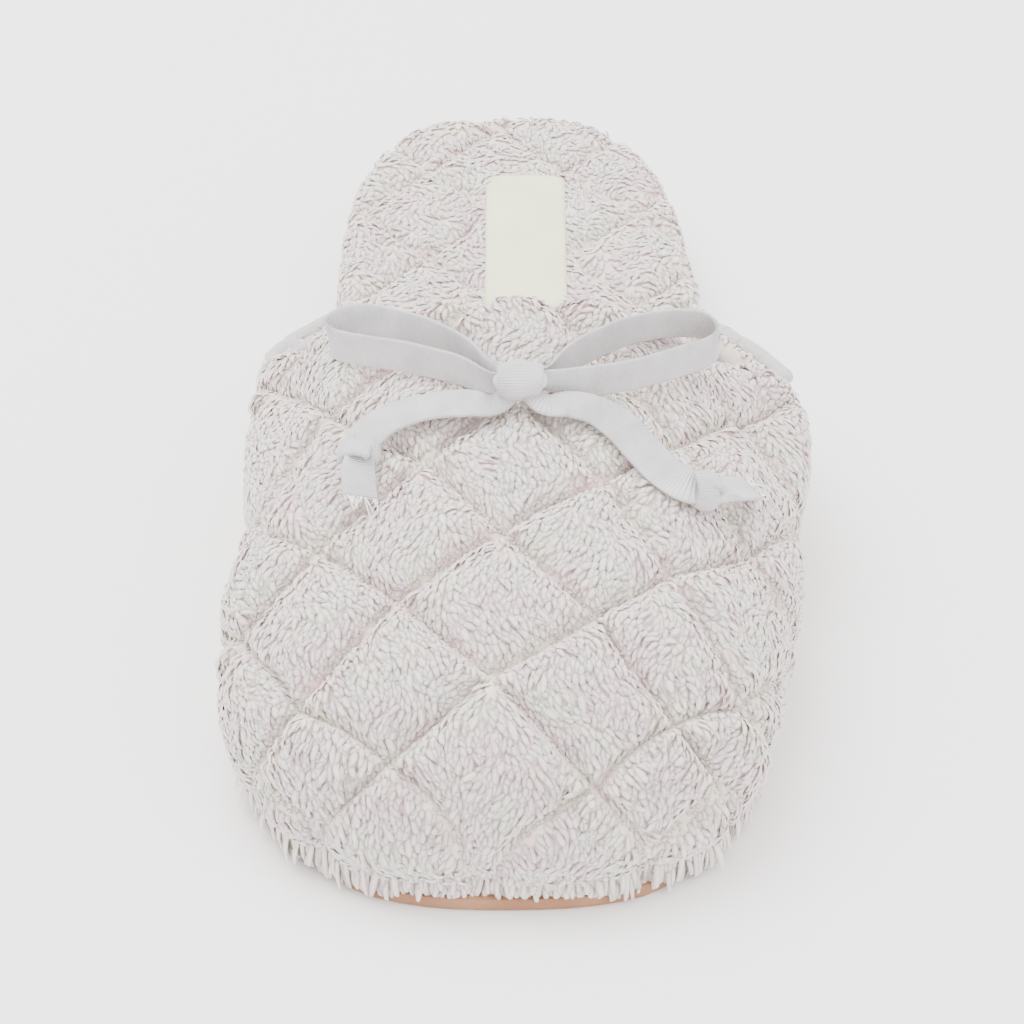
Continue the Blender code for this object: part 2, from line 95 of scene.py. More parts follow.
KNOT_CENTRE = Vector((0.0016, 0.0852 - HALF_SOLE, 0.0629))
ROUTE_STEPS = 6


def new_material(name, roughness, color=(0.8, 0.8, 0.8), **numbers):
    """A material and its shader. numbers are set on the shader's sockets of those names."""
    material = bpy.data.materials.new(name)
    material.use_nodes = True
    shader = material.node_tree.nodes["Principled BSDF"]
    shader.inputs["Base Color"].default_value = (*color, 1)
    shader.inputs["Roughness"].default_value = roughness
    for socket, value in numbers.items():
        shader.inputs[socket.replace("_", " ")].default_value = value
    return material, shader


def in_place(material):
    """Where a spot is on the shoe, for a pattern to be laid out by."""
    return material.node_tree.nodes.new("ShaderNodeTexCoord").outputs["Object"]


def pattern(material, kind, place, **numbers):
    """A texture of this kind, laid out by place."""
    texture = material.node_tree.nodes.new("ShaderNodeTex" + kind)
    for socket, value in numbers.items():
        texture.inputs[socket].default_value = value
    material.node_tree.links.new(place, texture.inputs["Vector"])
    return texture


def tinted(material, amount, *stops):
    """Colours that follow an amount: each stop is a position and its colour, from low to high."""
    tint = material.node_tree.nodes.new("ShaderNodeValToRGB")
    elements = tint.color_ramp.elements
    for element, (position, color) in zip(elements, (stops[0], stops[-1])):
        element.position = position
        element.color = (*color, 1)
    for position, color in stops[1:-1]:
        elements.new(position).color = (*color, 1)
    material.node_tree.links.new(amount, tint.inputs["Fac"])
    return tint.outputs["Color"]


def bumped(material, shader, height, strength, distance):
    """Fine relief on the material, as high as height."""
    bump = material.node_tree.nodes.new("ShaderNodeBump")
    bump.inputs["Strength"].default_value = strength
    bump.inputs["Distance"].default_value = distance
    material.node_tree.links.new(height, bump.inputs["Height"])
    material.node_tree.links.new(bump.outputs["Normal"], shader.inputs["Normal"])


def add_piece(name, mesh_or_bmesh, material, *replaced, slot):
    """A finished piece on the shoe's one body, standing for the solids named."""
    mesh = mesh_or_bmesh
    if not isinstance(mesh, bpy.types.Mesh):
        mesh = bpy.data.meshes.new(name)
        mesh_or_bmesh.to_mesh(mesh)
        mesh_or_bmesh.free()
    mesh.polygons.foreach_set("use_smooth", [True] * len(mesh.polygons))
    mesh.materials.append(material)
    piece = bpy.data.objects.new(name, mesh)
    scene.collection.objects.link(piece)
    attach(piece, "root")
    if replaced:
        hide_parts(*replaced)
    return piece


def smoothed(points, steps):
    """A smooth line through every point, with so many steps from each to the next."""
    last = len(points) - 1
    handles = []
    for i, p in enumerate(points):
        before, after = points[max(i - 1, 0)], points[min(i + 1, last)]
        direction = (after - before).normalized()
        handles.append((direction * (p - before).length / 3, direction * (after - p).length / 3))
    path = []
    for i in range(last):
        a, d = points[i], points[i + 1]
        b, c = a + handles[i][1], d - handles[i + 1][0]
        for k in range(steps):
            t = k / steps
            start = a * (1 - t) ** 3 + b * 3 * t * (1 - t) ** 2
            path.append(start + c * 3 * t * t * (1 - t) + d * t**3)
    return path + [points[last].copy()]


def ease(t):
    t = min(1.0, max(0.0, t))
    return t * t * (3 - 2 * t)


def distances(points):
    """How far each point is along the line through them."""
    length = [0.0]
    for a, b in zip(points, points[1:]):
        length.append(length[-1] + (b - a).length)
    return length


def lofted(rows):
    """A closed skin over rings of points, with UVs: along the rows in u, round each ring in v."""
    across, round_it = len(rows), len(rows[0])
    bm = bmesh.new()
    bmesh.ops.create_grid(bm, x_segments=across - 1, y_segments=round_it, size=0.5, calc_uvs=True)
    uv = bm.loops.layers.uv.verify()
    length = distances([row[0] for row in rows])
    for face in bm.faces:
        for loop in face.loops:
            i = round((loop.vert.co.x + 0.5) * (across - 1))
            loop[uv].uv = (length[i], loop.vert.co.y + 0.5)
    for vert in bm.verts:
        i = round((vert.co.x + 0.5) * (across - 1))
        j = round((vert.co.y + 0.5) * round_it)
        vert.co = rows[i][j % round_it]
    bmesh.ops.remove_doubles(bm, verts=bm.verts, dist=1e-7)
    bmesh.ops.holes_fill(bm, edges=[edge for edge in bm.edges if edge.is_boundary], sides=0)
    bmesh.ops.recalc_face_normals(bm, faces=bm.faces)
    return bm


def band_frames(route):
    """Middle, direction, width direction and face direction of the ribbon all along its route."""
    points = [Vector((x, y - HALF_SOLE * 1000, z)) / 1000 for x, y, z, _ in route]
    path = smoothed(points, ROUTE_STEPS)
    steps_in = np.arange(len(path)) / ROUTE_STEPS
    leans = np.interp(steps_in, np.arange(len(route)), [row[3] for row in route])
    frames = []
    for i, point in enumerate(path):
        along = (path[min(i + 1, len(path) - 1)] - path[max(i - 1, 0)]).normalized()
        level = along.cross(Vector((0, 0, 1))).normalized()
        lean = math.radians(float(leans[i]))
        across = level * math.cos(lean) + Vector((0, 0, 1)) * math.sin(lean)
        across = (across - along * across.dot(along)).normalized()
        frames.append((point, along, across, along.cross(across)))
    return frames


def band_rows(frames, shape):
    """Rings round a band that follows frames. shape(done, left) is its width, cupping and thickness.
    Its two selvedges are a little thicker than the rest."""
    length = distances([frame[0] for frame in frames])
    spread = [-1, -0.9, -0.5, 0, 0.5, 0.9, 1]
    rows = []
    for (point, _, across, face), done in zip(frames, length):
        width, cup, thickness = shape(done, length[-1] - done)
        ripple = 0.00016 * noise.noise(point * 260)
        middle = []
        for u in spread:
            middle.append(point + across * (u * width / 2) + face * (cup * (u * u - 0.4) + ripple * u))
        half = [thickness / 2 * (1.3 if abs(u) == 0.9 else 1.0) for u in spread]
        top = [m + face * h for m, h in zip(middle, half)]
        low = [m - face * h for m, h in zip(middle, half)]
        rows.append(top + low[::-1])
    return rows, length


def under_knot(row):
    """The next row of a route, where the gathered band reaches on under the knot."""
    x, station, z, lean = row
    toward = 1 if x < 0 else -1
    return (x + toward * 3.4, station + 0.8 * (KNOT_STATION - station), z + 0.9, lean)


def ribbon(name, route, shape, replaced, far_end):
    """A length of ribbon along a route. A loop runs on under the knot at both ends, and a tail at one."""
    route = [under_knot(route[0])] + route
    if far_end == "object":
        route = route + [under_knot(route[-1])]
    frames = band_frames(route)
    rows, length = band_rows(frames, shape)
    piece = add_piece(name, lofted(rows), ribbon_material, replaced, slot="grosgrain_ribbon")
    return frames


# Grosgrain: fine ribs across the band, a little sheen and a grey that dulls in patches.
ribbon_material, shader = new_material("grosgrain_ribbon", 0.55, Sheen_Weight=0.25, Sheen_Roughness=0.4)
along_band = ribbon_material.node_tree.nodes.new("ShaderNodeUVMap").outputs["UV"]
ribs = pattern(ribbon_material, "Wave", along_band, Scale=700, Distortion=0.6)
ribs.bands_direction = "X"
mottle = pattern(ribbon_material, "Noise", in_place(ribbon_material), Scale=160, Detail=4)
tint = tinted(ribbon_material, mottle.outputs["Fac"], (0.3, (0.58, 0.565, 0.585)), (0.7, (0.75, 0.73, 0.745)))
ribbon_material.node_tree.links.new(tint, shader.inputs["Base Color"])
bumped(ribbon_material, shader, ribs.outputs["Fac"], 0.8, 0.0003)


def loop_shape(done, left):
    near = ease(min(done, left) / PINCH_REACH)
    return RIBBON_PINCH + (RIBBON_WIDTH - RIBBON_PINCH) * near, RIBBON_CUP * (1 - near), RIBBON_THICKNESS


def tail_shape(done, left):
    """Narrower and thicker also where the overhand knot gathers it, 11 mm from its end."""
    near = ease(done / PINCH_REACH)
    knot = ease(1 - abs(left - 0.0110) / 0.0060)
    width = RIBBON_PINCH + (RIBBON_WIDTH - RIBBON_PINCH) * near - 0.0014 * knot
    return width, RIBBON_CUP * (1 - near) - 0.0009 * knot, RIBBON_THICKNESS + 0.0016 * knot


ribbon("bow_ribbon_inner_loop", INNER_LOOP, loop_shape, "bow_loop_inner", "object")
ribbon("bow_ribbon_outer_loop", OUTER_LOOP, loop_shape, "bow_loop_outer", "object")
inner_tail = ribbon("bow_ribbon_inner_tail", INNER_TAIL, tail_shape, "bow_tail_inner", "knot")
outer_tail = ribbon("bow_ribbon_outer_tail", OUTER_TAIL, tail_shape, "bow_tail_outer", "knot")

# ---- the bow's centre knot: the ribbon's middle pulled over the crossing, over a gathered core
WRAP_TURNS = 1.15
WRAP_STEPS = 28             # a turn
KNOT_REACH = 0.0034
KNOT_RISE = 0.0037
KNOT_CREASE = 0.0034        # across the shoe, where the wrap is pulled in
KNOT_AXIS = Vector((1, 0.06, 0)).normalized()
KNOT_UP = Vector((0, -0.50, 0.87))
KNOT_UP = (KNOT_UP - KNOT_AXIS * KNOT_UP.dot(KNOT_AXIS)).normalized()


def wrap_frames(centre, axis, up, reach, rise, start, tilt):
    """Frames of a band that goes round an axis: reach to the side, rise up, and tilt along the axis."""
    side = axis.cross(up).normalized()
    steps = int(WRAP_STEPS * WRAP_TURNS)
    frames = []
    for k in range(steps + 1):
        angle = start + 2 * math.pi * WRAP_TURNS * k / steps
        out = side * (reach * math.cos(angle)) + up * (rise * math.sin(angle))
        face = (side * (math.cos(angle) / reach) + up * (math.sin(angle) / rise)).normalized()
        slip = axis * (tilt * (k / steps - 0.5))
        frames.append((centre + out + slip, axis.cross(face), axis, face))
    return frames


def knot_shape(done, left):
    over = math.sin(math.pi * min(1, done / (done + left)))
    return 0.0070 + 0.0020 * over, -0.0013, 0.0008


wrap, _ = band_rows(
    wrap_frames(KNOT_CENTRE, KNOT_AXIS, KNOT_UP, KNOT_REACH, KNOT_RISE, start=-1.7, tilt=0.0016), knot_shape
)
for row in wrap:
    for i, point in enumerate(row):
        out = (point - KNOT_CENTRE).normalized()
        fold = noise.noise(Vector((point.x * 420, point.y * 150, point.z * 150)))
        pull = ease(1 - abs(point.x - KNOT_CREASE) / 0.0014)
        row[i] = point + out * (0.00075 * fold - 0.0007 * pull)
add_piece("bow_knot_wrap", lofted(wrap), ribbon_material, "bow_knot", slot="grosgrain_ribbon")
bm = bmesh.new()
bmesh.ops.create_uvsphere(bm, u_segments=32, v_segments=20, radius=1)
for vert in bm.verts:
    fold = 1 + 0.10 * math.cos(5 * math.atan2(vert.co.z, vert.co.y) + 2 * vert.co.x)
    vert.co = Vector((vert.co.x * 0.0054, vert.co.y * 0.0030 * fold, vert.co.z * 0.0031 * fold)) + KNOT_CENTRE
add_piece("bow_knot_core", bm, ribbon_material, slot="grosgrain_ribbon")

# ---- the ribbon's ends: an overhand knot about three quarters of the way down each tail, and white
# threads that fray from the cut edge
END_KNOT_AT = 0.76
END_KNOT_REACH = 0.0037
END_KNOT_RISE = 0.0027
THREADS = 22


def end_knot_shape(done, left):
    return 0.0044, -0.0007, 0.0008


fray_material, _ = new_material("frayed_thread", 0.7, (0.94, 0.94, 0.94))
for side, frames, tilt, seed in (("inner", inner_tail, 0.0014, 5), ("outer", outer_tail, -0.0014, 8)):
    point, along, across, face = frames[int(len(frames) * END_KNOT_AT)]
    turns = wrap_frames(point, along, face, END_KNOT_REACH, END_KNOT_RISE, start=-2.0, tilt=tilt)
    wrap, _ = band_rows(turns, end_knot_shape)
    add_piece(f"bow_end_knot_{side}", lofted(wrap), ribbon_material, slot="grosgrain_ribbon")
    last, along, across, face = frames[-1]
    rng = np.random.default_rng(seed)
    bm = bmesh.new()
    for _ in range(THREADS):
        root = last + across * (RIBBON_WIDTH * (rng.random() - 0.5)) - along * 0.0004
        way = (along + across * rng.normal(0, 0.35) + face * rng.normal(0.1, 0.25)).normalized()
        long = 0.0016 + 0.0036 * rng.random() ** 2
        thread = bmesh.ops.create_cone(
            bm, cap_ends=True, segments=5, radius1=0.00020, radius2=0.00007, depth=long
        )["verts"]
        turn = way.to_track_quat("Z", "Y").to_matrix().to_4x4()
        turn.translation = root + way * long / 2
        bmesh.ops.transform(bm, matrix=turn, verts=thread)
    add_piece(f"bow_fray_{side}", bm, fray_material, slot="grosgrain_ribbon")

# ---- floor and light: a pale sweep under a wide soft light from above, with the room's own fill
bpy.ops.mesh.primitive_plane_add(size=6, location=(0, 0, 0))
floor = bpy.context.object
floor.name = "floor"
floor_material, _ = new_material("pale_floor", 0.8, (0.96, 0.96, 0.96))
floor.data.materials.append(floor_material)
world = bpy.data.worlds.new("studio")
scene.world = world
world.use_nodes = True
world.node_tree.nodes["Background"].inputs["Color"].default_value = (1, 0.988, 0.976, 1)
world.node_tree.nodes["Background"].inputs["Strength"].default_value = 2.35
for name, place_at, size, power in (
    ("key", (-0.35, 0.25, 1.2), 0.9, 26.0),
    ("fill", (0.7, -0.9, 0.9), 1.2, 9.0),
):
    lamp = bpy.data.objects.new(name, bpy.data.lights.new(name, "AREA"))
    lamp.data.size = size
    lamp.data.energy = power
    lamp.location = place_at
    lamp.rotation_euler = (Vector((0, 0, 0.03)) - lamp.location).to_track_quat("-Z", "Y").to_euler()
    scene.collection.objects.link(lamp)

# ---- the quilted plush: wadding under terry, stitched through in diamonds about 27 mm a side, in two
# slanting sets of lines. The terry is matted, and lies in short locks.
CELL = 0.027
SEAM_WIDTH = 0.0016         # of the trough that a line of stitches pulls down
# Where lines cross on the vamp: their two numbers, then across, station and height in millimetres.
VAMP_CROSSINGS = [
    (0, 0, -2.3, 53.4, 51.7), (1, 0, -22.1, 39.7, 45.6), (2, 0, -41.6, 20.9, 33.0),
    (0, 1, 16.0, 34.2, 46.0), (1, 1, -4.1, 21.4, 41.7), (2, 1, -23.9, 8.1, 30.7),
    (0, 2, 31.6, 15.5, 33.8), (1, 2, 16.2, 3.4, 27.1), (-1, 0, 18.2, 67.4, 53.5),
    (-2, 0, 34.0, 83.8, 50.6), (-3, 0, 46.7, 103.7, 41.2), (-1, 1, 30.5, 46.7, 46.4),
    (-2, 1, 47.2, 59.6, 40.5), (-1, 2, 44.2, 22.9, 31.0), (-1, -1, 0.6, 89.3, 58.6),
    (0, -1, -17.6, 74.5, 53.2), (0, -2, -37.0, 94.7, 49.8), (1, -1, -38.2, 56.7, 44.5),
    (1, -2, -50.7, 67.6, 40.8), (-2, -1, 15.6, 103.9, 59.8), (-1, -2, -13.5, 111.5, 59.8),
    (2, 2, -5.9, -3.3, 8.9), (3, 0, -49.4, 17.1, 19.2), (3, 1, -36.2, 4.9, 16.0),
    (0, 3, 39.7, 10.6, 23.4), (1, 3, 25.6, 0.7, 14.7),
]


def fitted(crossings):
    """The two line numbers anywhere near the crossings, as a smooth fit through all of them."""
    table = np.array(crossings, float)
    places = table[:, 2:] / 1000 - [0, HALF_SOLE, 0]
    count = len(places)
    distance = np.linalg.norm(places[:, None] - places[None], axis=2)
    plain = np.hstack([np.ones((count, 1)), places])
    system = np.block([[distance + 1e-6 * np.eye(count), plain], [plain.T, np.zeros((4, 4))]])
    weights = np.linalg.solve(system, np.vstack([table[:, :2], np.zeros((4, 2))]))

    def lines_at(points):
        far = np.linalg.norm(points[:, None] - places[None], axis=2)
        return np.hstack([far, np.ones((len(points), 1)), points]) @ weights

    return lines_at


def footbed_lines(points):
    """Straight diamonds across the footbed, stitched through the pad before it was cut."""
    x, station = points[:, 0], points[:, 1] + HALF_SOLE
    return np.stack([(station - 1.2 * x - 0.222) / 0.0385, (station + 1.2 * x - 0.214) / 0.038], axis=1)


def plain_cloth(points):
    """No stitching: every place is half way between two lines."""
    return np.full((len(points), 2), 0.5)


def seam_distance(lines):
    """How far the nearest line of stitches is, in metres."""
    return (np.abs(lines - np.round(lines)) * CELL).min(axis=1)


vamp_lines = fitted(VAMP_CROSSINGS)


def quilted(points, normals, lines_at, set_back, depth, keep):
    """Moves points of a smooth skin: set back under the pile, drawn down at each line of stitches."""
    near = seam_distance(lines_at(points))
    trough = np.exp(-((near / SEAM_WIDTH) ** 1.5))
    pillow = 1 - np.clip(near / (CELL * 0.42), 0, 1)
    drop = set_back + depth * (0.58 * trough + 0.42 * pillow**2)
    return points - normals * (drop * keep)[:, None]


def matted(points):
    """Ridges of matted pile from -1 to 1, about 1.5 mm apart and drawn out towards the toe."""
    height = np.empty(len(points))
    for i, (x, y, z) in enumerate(points):
        swirl = noise.noise(Vector((x * 90, y * 90, z * 90)))
        height[i] = noise.noise(Vector((x * 620 + 2.2 * swirl, y * 230 + z * 60, z * 420 - 1.6 * swirl)))
        height[i] += 0.5 * noise.noise(Vector((x * 1150, y * 520 + 2 * swirl, z * 900)))
    return height


def mesh_arrays(mesh):
    """A mesh's points, its normal at each, and the three corners of each triangle."""
    count = len(mesh.vertices)
    points, normals = np.empty(count * 3), np.empty(count * 3)
    mesh.vertices.foreach_get("co", points)
    mesh.vertex_normals.foreach_get("vector", normals)
    mesh.calc_loop_triangles()
    corners = np.empty(len(mesh.loop_triangles) * 3, np.int64)
    mesh.loop_triangles.foreach_get("vertices", corners)
    return points.reshape(-1, 3), normals.reshape(-1, 3), corners.reshape(-1, 3)


def copy_of(node):
    """A welded copy of a solid's mesh, with its triangles joined back to four-sided faces."""
    bm = bmesh.new()
    bm.from_mesh(nodes[node].data)
    bmesh.ops.remove_doubles(bm, verts=bm.verts, dist=1e-5)
    bmesh.ops.join_triangles(
        bm, faces=bm.faces, angle_face_threshold=math.radians(50), angle_shape_threshold=math.radians(60)
    )
    return bm


def with_modifier(bm, kind, **settings):
    """The mesh of a bmesh after one modifier."""
    mesh = bpy.data.meshes.new("step")
    bm.to_mesh(mesh)
    bm.free()
    helper = bpy.data.objects.new("step", mesh)
    scene.collection.objects.link(helper)
    modifier = helper.modifiers.new(kind, kind)
    for key, value in settings.items():
        setattr(modifier, key, value)
    graph = bpy.context.evaluated_depsgraph_get()
    result = bpy.data.meshes.new_from_object(helper.evaluated_get(graph))
    bpy.data.objects.remove(helper)
    return result


# Plush: pale warm grey, blotched faintly pink and cream, times each point's shade: painted shade in the
# seams, at the locks' roots, between the locks and inside the wall, with a random tone.
plush, shader = new_material(
    "terry_plush", 0.95, Subsurface_Weight=0.7, Subsurface_Radius=(1.0, 0.9, 0.86), Subsurface_Scale=0.0012,
    Sheen_Weight=0.2, Sheen_Roughness=0.6,
)
place = in_place(plush)
blotch = pattern(plush, "Noise", place, Scale=120, Detail=3)
tint = tinted(
    plush, blotch.outputs["Fac"],
    (0.40, (0.865, 0.670, 0.650)), (0.5, (0.875, 0.742, 0.695)), (0.62, (0.885, 0.795, 0.680)),
)
shade = plush.node_tree.nodes.new("ShaderNodeAttribute")
shade.attribute_name = "shade"
darken = plush.node_tree.nodes.new("ShaderNodeMix")
darken.data_type = "RGBA"
darken.blend_type = "MULTIPLY"
darken.inputs["Factor"].default_value = 1
plush.node_tree.links.new(tint, darken.inputs["A"])
plush.node_tree.links.new(shade.outputs["Color"], darken.inputs["B"])
plush.node_tree.links.new(darken.outputs["Result"], shader.inputs["Base Color"])
fuzz = pattern(plush, "Noise", place, Scale=2200, Detail=2)
bumped(plush, shader, fuzz.outputs["Fac"], 0.5, 0.0003)


def set_shade(mesh, values):
    """Stores how light each point's colour is, from 0 to 1."""
    layer = mesh.attributes.new("shade", "FLOAT_COLOR", "POINT")
    colors = np.repeat(np.asarray(values, np.float32)[:, None], 4, axis=1)
    colors[:, 3] = 1
    layer.data.foreach_set("color", colors.ravel())


def scattered(mesh, spacing, wanted, seed):
    """Places spread evenly over the part of a mesh that wanted picks, and the smooth normal at each.
    Many are drawn at random, and one that lies too near another is left out."""
    points, normals, corners = mesh_arrays(mesh)
    a, b, c = points[corners[:, 0]], points[corners[:, 1]], points[corners[:, 2]]
    area = np.linalg.norm(np.cross(b - a, c - a), axis=1) / 2
    area = area * wanted((a + b + c) / 3, normals[corners].mean(axis=1))
    rng = np.random.default_rng(seed)
    picked = rng.choice(len(corners), int(area.sum() / spacing**2 * 3.0), p=area / area.sum())
    u, v = np.sqrt(rng.random(len(picked))), rng.random(len(picked))
    share = np.stack([1 - u, u * (1 - v), u * v], axis=1)[:, :, None]
    at = (points[corners[picked]] * share).sum(axis=1)
    normal = (normals[corners[picked]] * share).sum(axis=1)
    taken, kept = {}, []
    reach = 0.80 * spacing
    cells = np.floor(at / reach).astype(int)
    for i, (x, y, z) in enumerate(cells):
        near = [
            j for dx in (-1, 0, 1) for dy in (-1, 0, 1) for dz in (-1, 0, 1)
            for j in taken.get((x + dx, y + dy, z + dz), ())
        ]
        if near and (((at[near] - at[i]) ** 2).sum(axis=1) < reach * reach).any():
            continue
        taken.setdefault((x, y, z), []).append(i)
        kept.append(i)
    return at[kept], normal[kept] / np.linalg.norm(normal[kept], axis=1, keepdims=True), rng


def tufted(name, at, normal, lay, length, width, lift, shade):
    """One mesh of many short locks of matted pile, each rising out of the cloth and lying back into it.
    A lock is four rings of three points and a tip. It is shaded by the cloth's direction more than its
    own, so that the locks read as one soft nap."""
    side = np.cross(normal, lay)
    rings = [(-0.12, 0.60, -0.60), (0.18, 0.95, 0.35), (0.55, 1.00, 0.70), (0.86, 0.74, 0.30)]
    parts, tones, facing = [], [], []
    for along, wide, high in rings:
        middle = at + lay * (length * along)[:, None] + normal * (lift * high)[:, None]
        half = (width * wide / 2)[:, None]
        parts += [middle - side * half, middle + normal * half * 0.42, middle + side * half]
        # Painted shade: each lock darker towards its root, and its tip a little darker where it dips back
        # into the pile.
        tones += [shade * (0.93 + 0.07 * ease(along + 0.30))] * 3
        tip = lay * (0.35 * along)
        facing += [normal - side * 0.75 + tip, normal + tip * 0.4, normal + side * 0.75 + tip]
    parts.append(at + lay * length[:, None] - normal * (lift * 0.55)[:, None])
    tones.append(shade * 0.97)
    facing.append(normal + lay * 0.45)
    count, per_lock = len(at), len(parts)
    points = np.stack(parts, axis=1).reshape(-1, 3)
    quads = [(r + k, r + 3 + k, r + 3 + (k + 1) % 3, r + (k + 1) % 3) for r in (0, 3, 6) for k in range(3)]
    tips = [(9 + k, 12, 9 + (k + 1) % 3) for k in range(3)] + [(0, 1, 2)]
    starts = (np.arange(count) * per_lock)[:, None, None]
    quad_faces = (starts + np.array(quads)[None]).reshape(-1, 4)
    tip_faces = (starts + np.array(tips)[None]).reshape(-1, 3)
    mesh = bpy.data.meshes.new(name)
    mesh.from_pydata(points.tolist(), [], quad_faces.tolist() + tip_faces.tolist())
    set_shade(mesh, np.stack(tones, axis=1).ravel())
    add_piece(name, mesh, plush, slot="terry_plush")
    facing = np.stack(facing, axis=1).reshape(-1, 3)
    facing /= np.linalg.norm(facing, axis=1, keepdims=True)
    under = np.concatenate([np.tile([0, 0, 1], count * 3), np.tile([0, 0, 1, 0], count)]) == 1
    sizes = np.repeat([4, 3], [count * len(quads), count * len(tips)])
    corner = np.concatenate([quad_faces.ravel(), tip_faces.ravel()])
    split = np.where(np.repeat(under, sizes)[:, None], -facing[corner], facing[corner])
    mesh.normals_split_custom_set(split.tolist())


def lay_of(at, normal, towards, rng, swirl):
    """Which way each tuft lies: brushed towards one way along the surface, in loose swirls."""
    towards = np.broadcast_to(np.asarray(towards, float), at.shape)
    flat = towards - normal * (towards * normal).sum(axis=1, keepdims=True)
    flat /= np.linalg.norm(flat, axis=1, keepdims=True) + 1e-9
    shift = Vector((7, 3, 1))
    drift = [noise.noise(Vector(p) * 95) + 0.5 * noise.noise(Vector(p) * 260 + shift) for p in at]
    turn = swirl * np.array(drift) * 2.0 + rng.normal(0, 0.22, len(at))
    return flat * np.cos(turn)[:, None] + np.cross(normal, flat) * np.sin(turn)[:, None]


# ---- upper: one quilted plush wall over the forefoot, its raw edge turned over a rolled collar, low
# wings down both sides, lasted under the footbed. The pile is brushed towards the toe.
PILE = 0.0010               # depth of the pile over the backing cloth
SET_BACK = PILE * 0.35      # of the cloth from the solid's face, which leaves room for the pile
UPPER_VOXEL = 0.00088
UPPER_QUILT = 0.0040        # depth of the stitched troughs
RIDGE = 0.00042
COLLAR_ROLL = 0.0014        # how much the padded crest of the collar swells
COLLAR_ROLL_WIDTH = 0.0060
RIM_STEP = 0.003
SPINE_FRONT = 0.045 - HALF_SOLE


def facing_out(points, normals):
    """How squarely the skin faces away from a line through the middle of the shoe: below 0 is the lining."""
    spine = np.stack([
        np.full(len(points), 0.002), np.clip(points[:, 1], SPINE_FRONT, 1.0), np.full(len(points), 0.018)
    ], axis=1)
    return ((points - spine) * normals).sum(axis=1) / np.linalg.norm(points - spine, axis=1)


def fine_skin(node, voxel, levels):
    """An even fine mesh over a solid's shape, with its facets smoothed away."""
    bm = bmesh.new()
    bm.from_mesh(with_modifier(copy_of(node), "SUBSURF", levels=levels, render_levels=levels))
    skin = with_modifier(bm, "REMESH", mode="VOXEL", voxel_size=voxel, adaptivity=0)
    bm = bmesh.new()
    bm.from_mesh(skin)
    for _ in range(3):
        bmesh.ops.smooth_vert(
            bm, verts=bm.verts, factor=0.5, use_axis_x=True, use_axis_y=True, use_axis_z=True
        )
    bm.to_mesh(skin)
    bm.free()
    return skin


skin = fine_skin("upper", UPPER_VOXEL, 2)
points, normals, _ = mesh_arrays(skin)
outside = np.clip((facing_out(points, normals) + 0.15) / 0.35, 0, 1)
thin_wing = np.clip((0.185 - HALF_SOLE - points[:, 1]) / 0.020, 0.25, 1)
keep = outside * thin_wing * np.clip((points[:, 2] - 0.0030) / 0.004, 0.3, 1)
keep *= np.clip(0.40 + normals[:, 2] * 1.1, 0.40, 1)
ridges = matted(points)
points = quilted(points, normals, vamp_lines, SET_BACK, UPPER_QUILT, keep)
cad_points, _, _ = mesh_arrays(nodes["upper"].data)
rim = []
for x in np.arange(-0.048, 0.0541, RIM_STEP):
    near = cad_points[np.abs(cad_points[:, 0] - x) < RIM_STEP]
    rim.append(near[near[:, 2].argmax()])
away = np.min([np.linalg.norm(points - place, axis=1) for place in rim], axis=0)
roll = np.exp(-((away / COLLAR_ROLL_WIDTH) ** 2))
points += normals * (RIDGE * ridges * (0.25 + 0.75 * keep) + COLLAR_ROLL * roll)[:, None]
skin.vertices.foreach_set("co", points.ravel())
# Painted shade and light: the cloth a little darker where it shows between the locks, darker in the hollows
# of the matted ridges and lighter on their crests, and darker still on the lining inside the wall.
set_shade(skin, 0.92 + 0.05 * ridges - 0.16 * (1 - outside))
upper = add_piece("upper_quilted_shell", skin, plush, "upper", slot="terry_plush")


def outer_face(centre, normal):
    """The parts of the upper that carry pile: outer face and collar roll, clear of the sole."""
    return (facing_out(centre, normal) > -0.25) & (centre[:, 2] > 0.0048)


def pile_on(piece, names, spacing, length, width, lines_at, wanted, towards, swirl, seed):
    """Locks of pile over a piece, shorter by the stitches and darker there with painted shade, and cut short
    of crossing them.
    """
    at, normal, rng = scattered(piece.data, spacing, wanted, seed)
    near = seam_distance(lines_at(at))
    lay = lay_of(at, normal, towards, rng, swirl)
    count = len(at)
    open_pile = np.clip(near / 0.0020, 0, 1)
    long = length * rng.normal(1, 0.18, count).clip(0.6, 1.5) * (0.75 + 0.25 * open_pile)
    wide = width * rng.normal(1, 0.16, count).clip(0.6, 1.4)
    lift = PILE * rng.normal(0.62, 0.20, count).clip(0.2, 1.3) * (0.60 + 0.40 * open_pile)
    own_cell = np.floor(lines_at(at))
    for _ in range(3):
        tip_cell = np.floor(lines_at(at + lay * (long * 1.05)[:, None]))
        crosses = (own_cell != tip_cell).any(axis=1)
        long = np.where(crosses, long * 0.66, long)
        lift = np.where(crosses, lift * 0.90, lift)
    # Painted shade: the locks darker in the stitched troughs, on top of a random tone.
    seam_shade = 0.74 + 0.26 * np.clip(near / SEAM_WIDTH, 0, 1)
    shade = rng.normal(0.97, 0.03, count).clip(0.88, 1.05) * seam_shade
    splits = np.array_split(np.argsort(at[:, 0], kind="stable"), len(names))
    for name, rows in zip(names, splits):
        tufted(name, at[rows], normal[rows], lay[rows], long[rows], wide[rows], lift[rows], shade[rows])


pile_on(
    upper, ["upper_pile_inner", "upper_pile_outer"], spacing=0.00112, length=0.0030, width=0.00120,
    lines_at=vamp_lines, wanted=outer_face, towards=(0.0, -1.0, -0.45), swirl=0.75, seed=11,
)

